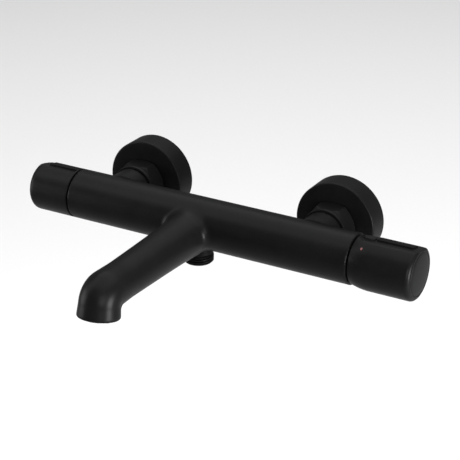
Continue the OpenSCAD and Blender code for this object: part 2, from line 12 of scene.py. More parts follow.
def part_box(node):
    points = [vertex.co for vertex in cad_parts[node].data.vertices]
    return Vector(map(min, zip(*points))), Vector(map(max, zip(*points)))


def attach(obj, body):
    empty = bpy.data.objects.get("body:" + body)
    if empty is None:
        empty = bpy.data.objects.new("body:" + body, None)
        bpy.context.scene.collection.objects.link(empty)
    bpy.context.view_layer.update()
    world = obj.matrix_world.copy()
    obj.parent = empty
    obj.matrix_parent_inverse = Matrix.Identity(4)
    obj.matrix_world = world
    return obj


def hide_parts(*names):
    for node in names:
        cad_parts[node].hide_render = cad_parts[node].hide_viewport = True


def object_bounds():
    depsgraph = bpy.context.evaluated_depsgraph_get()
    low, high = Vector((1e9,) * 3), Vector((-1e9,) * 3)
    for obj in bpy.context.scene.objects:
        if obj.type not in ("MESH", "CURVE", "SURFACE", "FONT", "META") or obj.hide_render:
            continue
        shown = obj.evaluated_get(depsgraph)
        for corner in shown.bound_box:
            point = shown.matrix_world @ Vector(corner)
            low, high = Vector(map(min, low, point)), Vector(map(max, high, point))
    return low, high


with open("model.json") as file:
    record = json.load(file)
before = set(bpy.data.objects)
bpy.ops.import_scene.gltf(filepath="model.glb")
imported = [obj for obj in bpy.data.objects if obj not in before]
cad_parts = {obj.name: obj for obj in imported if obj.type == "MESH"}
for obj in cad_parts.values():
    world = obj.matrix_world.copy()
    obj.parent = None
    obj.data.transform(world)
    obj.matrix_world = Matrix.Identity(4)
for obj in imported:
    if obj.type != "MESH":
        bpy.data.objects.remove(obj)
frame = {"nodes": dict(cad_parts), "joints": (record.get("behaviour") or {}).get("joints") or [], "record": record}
cad_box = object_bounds()
MM = 0.001
TAU = 2 * math.pi

# ---------------------------------------------------------------- places, from the frame
joints = {j["name"]: j for j in frame["joints"]}
mounts = {m["name"]: m for m in frame["record"]["mounts"]}


def box_mm(node):
    """Corners of a CAD node's box, in millimetres."""
    lo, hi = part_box(node)
    return np.array(lo) / MM, np.array(hi) / MM


def node_mid(node, axis):
    lo, hi = box_mm(node)
    return (lo[axis] + hi[axis]) / 2


RIGHT_END = joints["thermostat_turn"]["pos_m"][0] / MM
LEFT_END = joints["flow_turn"]["pos_m"][0] / MM
AXIS_Y = joints["thermostat_turn"]["pos_m"][1] / MM
SPOUT_X = mounts["shower_outlet"]["pos_m"][0] / MM
INLET_X = node_mid("union_nut_right", 0)
SHOWER_END = -box_mm("shower_nipple")[0][2]


def place(origin, x_axis, z_axis):
    """Matrix from a local frame in millimetres to the row frame in metres."""
    x, z = Vector(x_axis).normalized(), Vector(z_axis).normalized()
    y = z.cross(x)
    m = Matrix((x, y, z)).transposed().to_4x4()
    m.translation = Vector(origin) * MM
    return m @ Matrix.Diagonal((MM, MM, MM, 1))


# handle frames: z outwards along the handle, x up
ON_RIGHT = place((RIGHT_END, AXIS_Y, 0), (0, 0, 1), (1, 0, 0))
ON_LEFT = place((LEFT_END, AXIS_Y, 0), (0, 0, 1), (-1, 0, 0))
# inlets: z away from the wall, x to the right
ON_INLET = {"left": place((-INLET_X, 0, 0), (1, 0, 0), (0, -1, 0)),
            "right": place((INLET_X, 0, 0), (1, 0, 0), (0, -1, 0))}
ON_SHOWER = place((SPOUT_X, AXIS_Y, 0), (1, 0, 0), (0, 0, -1))

# ---------------------------------------------------------------- dimensions, in millimetres
# the bar and the two necks behind it
BODY_R = 17.25
NECK_R = 14.4
NECK_FROM = 34.0                        # distance of the necks' ends from the wall
BODY_EDGE = 0.5                         # rounding of the bar's ends and the necks' ends
NECK_FILLET, SPOUT_FILLET = 1.6, 5.0    # where the necks and the spout grow out of the bar

# hollows of the body: radius and depth from the open end, or for the shower's the height of its top
FLOW_BORE_R, FLOW_BORE_DEPTH = 10.0, 39.0
FLOW_MOUTH_R, FLOW_MOUTH_DEPTH = 12.6, 10.0
THERMO_BORE_R, THERMO_BORE_DEPTH = 13.2, 68.0
NECK_BORE_R, NECK_BORE_DEPTH = 10.3, 10.1
SHOWER_BORE_R, SHOWER_BORE_TOP = 10.68, -16.3
PAST_END = 5.0                          # how far a hollow's shape reaches out of its open end
BORE_EDGE = 0.4                         # rounding of the hollows' rims

# the spout, from the body's axis outwards
SPOUT_Z = -3.8
SPOUT_LEN = 107.5
SPOUT_END_R = 12.7
SPOUT_ROOT_R = 15.5
SPOUT_GROWN = 17.0                      # from here outwards the spout stands clear of the bar
ROOT_START_R = BODY_R + SPOUT_Z - 0.1   # radius that stays inside the bar at its axis
FLARE = 1.1
FLARE_REACH = 20.0
SWELL_BEFORE, SWELL_OVER = 14.0, 18.0   # the spout thickens towards the bend
ELBOW_R = 13.3                          # radius of the tube through the bend
BEND_A = math.radians(79.4)
CREASE = 2.5                            # rounding of the inner corner under the bend
MOUTH_R = 13.88
MOUTH_LIP, MOUTH_STRAIGHT = 0.8, 1.2
MOUTH_BORE_R, MOUTH_BORE_DEPTH = 10.6, 9.0
PAST_MOUTH = 50.0
FRAME_BEND_R, FRAME_OUTLET_LEN = 13.2, 3.7
# the visible bend is tighter than the frame's, with its outlet on the same axis
BEND_R = 7.5
BEND_START = SPOUT_LEN + (FRAME_BEND_R - BEND_R) * math.tan(BEND_A / 2)
OUTLET_LEN = FRAME_OUTLET_LEN + (FRAME_BEND_R - BEND_R) * math.tan(BEND_A / 2)

# the handles, from the body's end outwards
THERMO_R, THERMO_LEN, THERMO_EDGE, THERMO_CAP_R = 18.25, 44.2, 3.2, 14.4
FLOW_R, FLOW_LEN, FLOW_EDGE, FLOW_CAP_R = 17.25, 33.6, 4.5, 12.6
SIDE_R = 17.8                           # about the radius of both, where the flats' edges lie
HANDLE_GAP = 1.0                        # between the body's end and a handle
SKIRT_R = 13.6                          # hollow of both handles over the body's end
SCREW_R = 2.2
CAP_SEAT, CAP_LIP = 2.4, 0.2            # depth of a cap's seat, and of the rim before it
FLAT_R = 15.25                          # distance of the handles' flats from their axis
FLAT_TILT = math.radians(12)            # the flats lean towards the wall
FLAT_EDGE = 0.25                        # rounding where a flat meets the round side
THERMO_FLAT_FROM, FLOW_FLAT_FROM = 2.9, 2.0
ROLL_FROM, ROLL_OVER, ROLL = 38.2, 6.0, 0.3   # the thermostat's flat drops a little at its end
BUTTON_Z, BUTTON_L, BUTTON_W = 7.8, 8.2, 6.4
BUTTON_BASE, BUTTON_TOP = 12.3, 17.0
BUTTON_GAP = 0.3
POCKET_FLOOR, POCKET_TOP = 12.9, 22.0
SPRING_RECESS_R, SPRING_RECESS_TOP = 2.3, 14.2
GRIP_W, GRIP_H, GRIP_SHIFT = 8.0, 0.98, 2.0
GRIP_EDGE, GRIP_LIFT = 0.15, 0.02
MARK_TURN, MARK_Z = math.radians(40), 8.5

# inlets and outlet
FLANGE_R, FLANGE_HOLE_R = 28.69, 13.47
NUT_FLATS = 30.0
PIPE_PITCH = 1.814
HALF_INCH = (10.4775, 9.32)             # radii of the thread's crests and roots
THREE_QUARTER = (13.22, 12.06)


# ---------------------------------------------------------------- mesh helpers
def link_object(name, me, sharp):
    """Puts a mesh in the scene, smooth except at edges sharper than the given angle."""
    for p in me.polygons:
        p.use_smooth = True
    me.set_sharp_from_angle(angle=math.radians(sharp))
    me.validate()
    ob = bpy.data.objects.new(name, me)
    bpy.context.scene.collection.objects.link(ob)
    return ob


def mesh_object(name, verts, faces, matrix, sharp=35):
    """An object from points in a local frame, with doubled points welded."""
    me = bpy.data.meshes.new(name)
    me.from_pydata([tuple(v) for v in verts], [], [tuple(int(i) for i in f) for f in faces])
    me.transform(matrix)
    bm = bmesh.new()
    bm.from_mesh(me)
    bmesh.ops.remove_doubles(bm, verts=bm.verts, dist=1e-6)
    bmesh.ops.dissolve_degenerate(bm, edges=bm.edges, dist=1e-7)
    bmesh.ops.recalc_face_normals(bm, faces=bm.faces)
    bm.to_mesh(me)
    bm.free()
    return link_object(name, me, sharp)


def arc(cx, cy, r, a, b, steps=8):
    """Points of a circle's arc, angles in degrees."""
    return [(cx + r * math.cos(math.radians(a + (b - a) * i / steps)),
             cy + r * math.sin(math.radians(a + (b - a) * i / steps))) for i in range(steps + 1)]


def lathe(name, outline, matrix, segments=96, shape=None, angles=None, sharp=35):
    """A closed outline of (radius, height) turned about z. shape(r, z, angle) may change it."""
    rz = np.array(outline, float)
    th = np.array(angles) if angles is not None else np.arange(segments) * TAU / segments
    n, m = len(rz), len(th)
    R = np.repeat(rz[:, 0][:, None], m, 1)
    Z = np.repeat(rz[:, 1][:, None], m, 1)
    A = np.repeat(th[None, :], n, 0)
    if shape:
        R, Z = shape(R, Z, A)
    verts = np.stack([R * np.cos(A), R * np.sin(A), Z], -1).reshape(-1, 3)
    i, j = np.meshgrid(np.arange(n), np.arange(m), indexing="ij")
    i2, j2 = (i + 1) % n, (j + 1) % m
    faces = np.stack([i * m + j, i * m + j2, i2 * m + j2, i2 * m + j], -1).reshape(-1, 4)
    return mesh_object(name, verts, faces, matrix, sharp)


def smooth_min(a, b, k):
    """The smaller of a and b, blended over a width of k where they are nearly equal."""
    h = np.clip(0.5 + 0.5 * (b - a) / k, 0, 1)
    return b * (1 - h) + a * h - k * h * (1 - h)


def surface_net(field, lo, hi, step, newton_steps=5, probe=0.02):
    """A quad mesh of the surface where field(x, y, z) is zero, drawn onto it by Newton steps.

    One point stands in each grid cell that the surface crosses, at the middle of its crossings,
    and one quad joins the four cells round each crossed grid edge.
    """
    axes = [np.arange(lo[i], hi[i] + step, step) for i in range(3)]
    grid = field(*np.meshgrid(*axes, indexing="ij"))
    inside = grid < 0
    shape = np.array(grid.shape) - 1
    count = np.zeros(shape, int)
    for dx in (0, 1):
        for dy in (0, 1):
            for dz in (0, 1):
                count += inside[dx:dx + shape[0], dy:dy + shape[1], dz:dz + shape[2]]
    active = (count > 0) & (count < 8)
    index = -np.ones(shape, int)
    index[active] = np.arange(active.sum())
    cells = np.argwhere(active)
    total = np.zeros((len(cells), 3))
    crossings = np.zeros(len(cells))
    for axis in range(3):
        step_to = np.eye(3, dtype=int)[axis]
        others = [k for k in range(3) if k != axis]
        for a in (0, 1):
            for b in (0, 1):
                start = np.zeros(3, int)
                start[others[0]], start[others[1]] = a, b
                p = cells + start
                q = p + step_to
                f0, f1 = grid[tuple(p.T)], grid[tuple(q.T)]
                hit = (f0 < 0) != (f1 < 0)
                t = np.where(hit, f0 / np.where(f0 == f1, 1, f0 - f1), 0)
                total += hit[:, None] * (p + t[:, None] * step_to)
                crossings += hit
    verts = np.array(lo) + total / crossings[:, None] * step
    quads = []
    for axis in range(3):
        u, v = (axis + 1) % 3, (axis + 2) % 3
        first = inside[tuple(slice(0, -1) if k == axis else slice(None) for k in range(3))]
        second = inside[tuple(slice(1, None) if k == axis else slice(None) for k in range(3))]
        edges = np.argwhere(first != second)
        keep = (edges[:, u] > 0) & (edges[:, v] > 0)
        keep &= (edges[:, u] < shape[u]) & (edges[:, v] < shape[v])
        edges = edges[keep]
        eu, ev = np.eye(3, dtype=int)[u], np.eye(3, dtype=int)[v]
        ring = [index[tuple((edges - a * eu - b * ev).T)]
                for a, b in ((0, 0), (1, 0), (1, 1), (0, 1))]
        quad = np.stack(ring, 1)
        flip = ~first[tuple(edges.T)]
        quad[flip] = quad[flip][:, ::-1]
        quads.append(quad)
    quads = np.concatenate(quads)
    longest, flattest, tiny = 0.5 * step, 0.05, 1e-9
    for _ in range(newton_steps):
        f = field(*verts.T)
        g = np.stack([(field(*(verts + probe * e).T) - field(*(verts - probe * e).T)) / (2 * probe)
                      for e in np.eye(3)], 1)
        move = f[:, None] * g / np.maximum((g * g).sum(1), flattest)[:, None]
        length = np.linalg.norm(move, axis=1)
        verts = verts - move * np.minimum(1, longest / np.maximum(length, tiny))[:, None]
    return verts, quads


# ---------------------------------------------------------------- body, as one smooth casting
def rounded_both(a, b, r):
    """Where both a and b are below zero, with the edge between them rounded by r."""
    return np.minimum(np.maximum(a + r, b + r), 0) + np.hypot(
        np.maximum(a + r, 0), np.maximum(b + r, 0)) - r


def round_hole(from_axis, radius, along, start, end):
    """Below zero inside a round hole between two places along its axis."""
    return np.maximum(from_axis - radius, np.maximum(start - along, along - end))


def spout_radius(d):
    """Radius of the spout at a distance from the body's axis."""
    taper = 1 - (d - SPOUT_GROWN) / (SPOUT_LEN - SPOUT_GROWN)
    shaft = SPOUT_END_R + taper * (SPOUT_ROOT_R - SPOUT_END_R - FLARE
                                   + FLARE * np.exp(-(d - SPOUT_GROWN) / FLARE_REACH))
    root = ROOT_START_R + (SPOUT_ROOT_R - ROOT_START_R) * d / SPOUT_GROWN
    return np.where(d < SPOUT_GROWN, root, shaft)


def spout_field(x, y, z):
    """Signed distances of the spout with its bend and outlet, and of the bore in its mouth."""
    side = x - SPOUT_X
    from_axis = AXIS_Y - y
    ahead = from_axis - BEND_START
    above = z - (SPOUT_Z - BEND_R)
    # the outlet's own frame starts where the bend ends
    fa, fb = ahead - BEND_R * math.sin(BEND_A), above - BEND_R * math.cos(BEND_A)
    down = fa * math.cos(BEND_A) - fb * math.sin(BEND_A)
    outlet = np.hypot(fa * math.sin(BEND_A) + fb * math.cos(BEND_A), side)
    straight = np.hypot(side, z - SPOUT_Z)
    turning = np.hypot(np.hypot(ahead, above) - BEND_R, side)
    swell = np.clip((from_axis - SPOUT_LEN + SWELL_BEFORE) / SWELL_OVER, 0, 1)
    swell = swell * swell * (3 - 2 * swell)
    shaft = straight - spout_radius(np.minimum(from_axis, SPOUT_LEN)) - (ELBOW_R - SPOUT_END_R) * swell
    widen = np.clip(down / (OUTLET_LEN - MOUTH_STRAIGHT), 0, 1)
    outlet_r = ELBOW_R + (MOUTH_R - ELBOW_R) * widen
    tip = rounded_both(outlet - outlet_r, down - OUTLET_LEN, MOUTH_LIP)
    before, past = ahead <= 0, down >= 0
    tube = np.where(before, np.where(past, smooth_min(shaft, tip, CREASE), shaft),
                    np.where(past, tip, turning - ELBOW_R))
    mouth = round_hole(outlet, MOUTH_BORE_R, down, OUTLET_LEN - MOUTH_BORE_DEPTH, PAST_MOUTH)
    return np.maximum(tube, -from_axis), mouth


def body_field(x, y, z):
    """Signed distance of the whole casting, its hollows cut in from their open ends."""
    around = np.hypot(y - AXIS_Y, z)
    from_inlet = np.hypot(np.abs(x) - INLET_X, z)
    from_outlet = np.hypot(x - SPOUT_X, y - AXIS_Y)
    middle, half = (LEFT_END + RIGHT_END) / 2, (RIGHT_END - LEFT_END) / 2
    bar = rounded_both(around - BODY_R, np.abs(x - middle) - half, BODY_EDGE)
    neck = rounded_both(from_inlet - NECK_R, np.maximum(y + NECK_FROM, AXIS_Y - y), BODY_EDGE)
    spout, mouth = spout_field(x, y, z)
    solid = smooth_min(smooth_min(bar, neck, NECK_FILLET), spout, SPOUT_FILLET)
    hollows = (
        round_hole(around, FLOW_BORE_R, x, LEFT_END - PAST_END, LEFT_END + FLOW_BORE_DEPTH),
        round_hole(around, FLOW_MOUTH_R, x, LEFT_END - PAST_END, LEFT_END + FLOW_MOUTH_DEPTH),
        round_hole(around, THERMO_BORE_R, x, RIGHT_END - THERMO_BORE_DEPTH, RIGHT_END + PAST_END),
        round_hole(from_inlet, NECK_BORE_R, y, -NECK_FROM - NECK_BORE_DEPTH, 0),
        mouth,
        round_hole(from_outlet, SHOWER_BORE_R, z, -SHOWER_END, SHOWER_BORE_TOP),
    )
    for hollow in hollows:
        solid = -smooth_min(-solid, hollow, BORE_EDGE)
    return solid


def build_body():
    """The casting, meshed on a grid of one millimetre."""
    grid, margin = 1.0, 2.1
    low, high = box_mm("body")
    verts, quads = surface_net(body_field, low - margin, high + margin, grid)
    me = bpy.data.meshes.new("mixer_casting")
    me.from_pydata((verts * MM).tolist(), [], quads.tolist())
    return link_object("mixer_casting", me, 50)


# ---------------------------------------------------------------- handles
def flat_cut(centre, start, roll_from=math.inf, roll=0.0):
    """Shape function that planes a flat at FLAT_R about the given angle, beyond start.

    From roll_from outwards the flat rolls over and drops by roll. The inner skin stays as it is.
    """
    facing, grazing, skin = 0.5, 0.2, 0.4

    def shape(R, Z, A):
        turn = np.cos(A - centre)
        over = np.clip((Z - roll_from) / ROLL_OVER, 0, 1)
        plane = (FLAT_R - roll * over * over) / np.maximum(turn, grazing)
        cut = smooth_min(R, plane, FLAT_EDGE)
        apply = (turn > facing) & (Z > start) & (R > FLAT_R - skin)
        return np.where(apply, cut, R), Z
    return shape


def handle_angles(centre):
    """Angles round a handle, closer together near the flat's two edges."""
    edge = math.acos(FLAT_R / SIDE_R)
    even = [TAU * i / 120 for i in range(120)]
    fine = [centre + s * (edge + math.radians(0.6 * i)) for s in (-1, 1) for i in range(-2, 3)]
    return sorted({round(a % TAU, 5) for a in even + fine})


def handle_hollow(length, cap_bore, well, floor, socket, socket_top, hub, hub_end, underside):
    """The inside of a handle, from its outer end to its inner one.

    cap_bore, well, socket and hub are radii: the cap's seat, the well over the screw, the socket
    for the spindle and the outside of the hub. The rest are heights above the body's end.
    """
    seat = length - CAP_SEAT
    return [(cap_bore, length - CAP_LIP), (cap_bore, seat), (well, seat), (well, floor),
            (SCREW_R, floor), (SCREW_R, socket_top), (socket, socket_top), (socket, hub_end),
            (hub, hub_end), (hub, underside), (SKIRT_R, underside)]


def thermostat_outline():
    """A handle whose inner end bulges out of a narrower rim in one long arc."""
    rim_r, bulge_r, bulge_turn, bulge_end = 16.0, 43.25, 17.2, 14.0
    outer = [(SKIRT_R, HANDLE_GAP), (rim_r, HANDLE_GAP)]
    outer += arc(THERMO_R - bulge_r, bulge_end, bulge_r, -bulge_turn, 0, 10)
    # rings along the side, which the flat's shape function bends
    outer += [(THERMO_R, z) for z in (*range(18, 35, 4), *range(37, 41))]
    outer += arc(THERMO_R - THERMO_EDGE, THERMO_LEN - THERMO_EDGE, THERMO_EDGE, 0, 90, 12)
    return outer + handle_hollow(THERMO_LEN, cap_bore=THERMO_CAP_R + 0.1, well=12.6, floor=27, socket=4.5,
                                 socket_top=25.1, hub=9.4, hub_end=7, underside=24)


def flow_outline():
    rim_edge = 0.4
    outer = [(SKIRT_R, HANDLE_GAP)]
    outer += arc(FLOW_R - rim_edge, HANDLE_GAP + rim_edge, rim_edge, -90, 0, 5)
    # the flat starts in a step between the first two rings
    outer += [(FLOW_R, z) for z in (FLOW_FLAT_FROM - 0.05, FLOW_FLAT_FROM + 0.05, *range(6, 27, 4))]
    outer += arc(FLOW_R - FLOW_EDGE, FLOW_LEN - FLOW_EDGE, FLOW_EDGE, 0, 90, 12)
    return outer + handle_hollow(FLOW_LEN, cap_bore=FLOW_CAP_R + 0.1, well=12, floor=20, socket=4.4,
                                 socket_top=19.1, hub=8, hub_end=6.5, underside=17)


def cap_outline(r, top, skirt):
    """An end cap of radius r: a crowned disc with a thin skirt that snaps into the handle."""
    edge, under, skirt_end, skirt_in = 0.4, top - 2.3, top - 8, skirt - 1.4
    crown = [(0, top + 0.59), (r * 0.4, top + 0.51), (r * 0.75, top + 0.27), (r - 0.5, top + 0.05)]
    rim = arc(r - edge, top - edge, edge, 80, 0, 4)
    return crown + rim + [(r, under), (skirt, under), (skirt, skirt_end), (skirt_in, skirt_end),
                          (skirt_in, under), (0, under)]


def stadium_outline(length, width, steps=12):
    """Points round a stadium, length along u and width along v."""
    pts = []
    for s in (1, -1):
        for i in range(steps + 1):
            a = math.pi * (i / steps - 0.5) + (0 if s > 0 else math.pi)
            pts.append((s * (length - width) / 2 + width / 2 * math.cos(a), width / 2 * math.sin(a)))
    return pts


def on_side(matrix, angle, z):
    """Frame on a handle's side: local z outwards, local x along the handle."""
    out = Vector((math.cos(angle), math.sin(angle), 0))
    m = Matrix((Vector((0, 0, 1)), out.cross(Vector((0, 0, 1))), out)).transposed().to_4x4()
    m.translation = Vector((0, 0, z))
    return matrix @ m


def pillow(name, length, width, base, top, matrix, edge=0.5, dome=0.0, steps=5):
    """A stadium-shaped block from base to top with a rounded rim and a domed top."""
    ring0 = np.array(stadium_outline(length, width))
    rings, heights = [ring0, ring0], [base, top - edge]
    for i in range(1, steps + 1):
        a = math.pi / 2 * i / steps
        inset = edge * (1 - math.cos(a))
        rings.append(np.array(stadium_outline(length - 2 * inset, width - 2 * inset)))
        heights.append(top - edge + edge * math.sin(a) - dome)
    # rings across the top, the last one nearly a line
    for share in (0.75, 0.5, 0.25, 0.02):
        w = (width - 2 * edge) * share
        rings.append(np.array(stadium_outline(length - width + w, w)))
        heights.append(top - dome * share * share)
    verts = np.concatenate([np.column_stack([r, np.full(len(r), h)]) for r, h in zip(rings, heights)])
    m = len(ring0)
    faces = [[k * m + i, k * m + (i + 1) % m, (k + 1) * m + (i + 1) % m, (k + 1) * m + i]
             for k in range(len(rings) - 1) for i in range(m)]
    faces.append(list(range(m))[::-1])
    faces.append([(len(rings) - 1) * m + i for i in range(m)])
    return mesh_object(name, verts, faces, matrix, 40)


def plug(name, r, start, end, matrix):
    """A plain round bar, to cut a hole with."""
    return lathe(name, [(0, start), (r, start), (r, end), (0, end)], matrix, 64)


def carve(ob, cutter, operation="DIFFERENCE"):
    """Cuts one mesh with another, or joins it on, and removes the other."""
    mod = ob.modifiers.new("pocket", "BOOLEAN")
    mod.operation, mod.object, mod.solver = operation, cutter, "EXACT"
    dg = bpy.context.evaluated_depsgraph_get()
    me = bpy.data.meshes.new_from_object(ob.evaluated_get(dg))
    ob.modifiers.clear()
    ob.data = me
    for p in me.polygons:
        p.use_smooth = True
    me.set_sharp_from_angle(angle=math.radians(28))
    bpy.data.objects.remove(cutter)


def block(name, size, radius, matrix, steps=5):
    """A bar with rounded edges: x along, y across, z up from 0."""
    length, width, height = size
    angles = np.linspace(0, math.pi / 2, steps + 1)
    rounding = [(radius * (1 - math.cos(a)), radius * (1 - math.sin(a))) for a in angles]
    profile = [(-width / 2, 0)] + [(-width / 2 + inset, height - drop) for inset, drop in rounding]
    profile += [(-x, z) for x, z in profile[::-1]]
    stations = [(-length / 2 + inset, drop) for inset, drop in rounding]
    stations += [(-x, drop) for x, drop in stations[::-1]]
    verts = [(x, y * (1 - drop / (width / 2)), z - drop * (z / height))
             for x, drop in stations for y, z in profile]
    m = len(profile)
    faces = [[k * m + i, (k + 1) * m + i, (k + 1) * m + (i + 1) % m, k * m + (i + 1) % m]
             for k in range(len(stations) - 1) for i in range(m)]
    faces.append(list(range(m)))
    faces.append([(len(stations) - 1) * m + i for i in range(m)][::-1])
    return mesh_object(name, verts, faces, matrix, 40)


# ---------------------------------------------------------------- threads, nuts and flanges
def helix(thread, start, end):
    """Shape function for a screw thread between two heights, fading in at both ends."""
    major, root = thread
    flank, crest, fade_out = 6.4, 2.4, 0.6      # steepness, height before it is cut off, turns
    skin = 0.2                                  # points further in than this are not part of the thread

    def shape(R, Z, A):
        phase = np.mod(Z / PIPE_PITCH - A / TAU, 1)
        ridge = np.clip(crest - np.abs(phase - 0.5) * flank, 0, 1)
        fade = np.clip((Z - start) / PIPE_PITCH, 0, 1) * np.clip((end - Z) / (fade_out * PIPE_PITCH), 0, 1)
        cut = root + (major - root) * ridge * fade
        on = (Z >= start) & (Z <= end) & (R > root - skin)
        return np.where(on, cut, R), Z
    return shape


def hexagon(flats, start, end, chamfer=0.9, chamfer_rim=0.25):
    """Shape function for a hexagon with its corners turned down at both ends."""
    half, skin = flats / 2, 0.5

    def shape(R, Z, A):
        local = np.mod(A, math.pi / 3) - math.pi / 6
        hexa = half / np.cos(local)
        depth = np.minimum(Z - start, end - Z)
        cone = half + chamfer_rim + np.maximum(depth, 0) * chamfer
        on = (Z >= start) & (Z <= end) & (R > half - skin)
        return np.where(on, np.minimum(hexa, cone), R), Z
    return shape


def build_escutcheon(side):
    """A thin dish that covers the hole in the wall, with a hub round its own hole."""
    back, front, wall_in, dish_floor = 0.2, 17.2, 27.1, 15.4
    edge, hole_edge, hub_r, hub_end, corner = 0.9, 0.3, 15.6, 12, 0.8
    # extra rings on the side and the front keep their shading even up to the roundings
    side_ring, outer_ring, inner_ring = 15, 24, 18
    outline = [(wall_in, back), (FLANGE_R, back), (FLANGE_R, side_ring)]
    outline += arc(FLANGE_R - edge, front - edge, edge, 0, 90, 6)
    outline += [(outer_ring, front), (inner_ring, front)]
    outline += arc(FLANGE_HOLE_R + hole_edge, front - hole_edge, hole_edge, 90, 180, 3)
    outline += [(FLANGE_HOLE_R, hub_end), (hub_r, hub_end), (hub_r, dish_floor),
                (wall_in - corner, dish_floor), (wall_in, dish_floor - corner)]
    return lathe("wall_flange_" + side, outline, ON_INLET[side], 128)


def build_union_nut(side):
    """A hexagon nut with a round collar in front, over the neck of the body."""
    thread_r, tail_r, hex_r = 13.35, 10.5, 17.4
    hex_from, hex_to, front = 17.9, 30.7, 33.2
    collar_r, collar_edge = 15.7, 0.6
    outline = [(thread_r + 0.01, hex_from + 0.2), (14.6, hex_from), (15.2, hex_from),
               (16.8, hex_from + 0.05)]
    # rings close together where the corners are turned down
    near = [0.3 + 0.4 * i for i in range(5)]
    outline += [(hex_r, hex_from + d) for d in near] + [(hex_r, 22), (hex_r, 26)]
    outline += [(hex_r, hex_to - d) for d in near[::-1]] + [(hex_r, hex_to - 0.05)]
    outline += [(15.0, hex_to), (15.0, hex_to + 0.2), (collar_r, hex_to + 0.4)]
    outline += arc(collar_r - collar_edge, front - collar_edge, collar_edge, 0, 90, 4)
    outline += [(tail_r + 0.2, front), (tail_r, front - 0.2), (tail_r, hex_to), (thread_r, hex_to)]
    return lathe("union_nut_" + side + "_visual", outline, ON_INLET[side],
                 shape=hexagon(NUT_FLATS, hex_from, hex_to - 0.01), sharp=22)


def build_union(side):
    """An offset union: its wide front thread on the inlet's axis, its back half on a parallel one."""
    offset = mounts["wall_inlet_" + side]["pos_m"][2] / MM
    # this puts the back half below the inlet's axis, where the frame has it above
    shifted = ON_INLET[side] @ Matrix.Translation((0, -offset, 0))
    front_end, front_turn, front_back, front_core = 25.95, 16.95, 1.0, 12.4
    outline = [(0, front_end), (front_core, front_end)]
    outline += [(THREE_QUARTER[0], z) for z in np.linspace(front_end - 0.2, front_turn, 36)]
    outline += [(front_core, front_turn - 0.2), (front_core, front_back + 0.2),
                (front_core - 0.2, front_back), (0, front_back)]
    union = lathe("wall_union_" + side, outline, ON_INLET[side], 64,
                  shape=helix(THREE_QUARTER, front_turn, front_end - 0.2))

    collar_r, collar_front, collar_back, first_turn, last_turn = 11.5, 6.5, -2.0, -2.1, -20.1
    outline = [(0, collar_front), (collar_r - 0.2, collar_front), (collar_r, collar_front - 0.2),
               (collar_r, collar_back + 0.2), (collar_r - 0.2, collar_back)]
    outline += [(HALF_INCH[0], z) for z in np.linspace(first_turn, last_turn, 70)]
    outline += [(9.2, last_turn - 0.04), (0, last_turn - 0.04)]
    carve(union, lathe("offset_half", outline, shifted, 64,
                       shape=helix(HALF_INCH, last_turn, first_turn)), "UNION")
    carve(union, plug("front_bore", 8, 3, front_end + 1, ON_INLET[side]))
    carve(union, plug("tail_bore", 7, last_turn - 0.9, 5, shifted))
    return union


def build_nipple():
    """The threaded outlet for the shower hose, with a plain collar above its thread."""
    major, bore = HALF_INCH[0], 8.05
    top, shoulder, collar_end, first_turn = 13.95, 16.5, 19.4, 21.7
    collar, end = major - 0.26, SHOWER_END - 0.005
    outline = [(bore, top), (9, top), (9, shoulder), (collar - 0.15, shoulder), (collar, shoulder + 0.15),
               (collar, collar_end), (major, collar_end + 0.2), (major, first_turn - 0.4),
               (10.2, first_turn - 0.1)]
    outline += [(major, z) for z in np.linspace(first_turn, end - 0.1, 34)]
    outline += [(9.3, end), (bore + 0.25, end), (bore, end - 0.3)]
    return lathe("shower_outlet_visual", outline, ON_SHOWER, 72,
                 shape=helix(HALF_INCH, first_turn, end - 0.1))


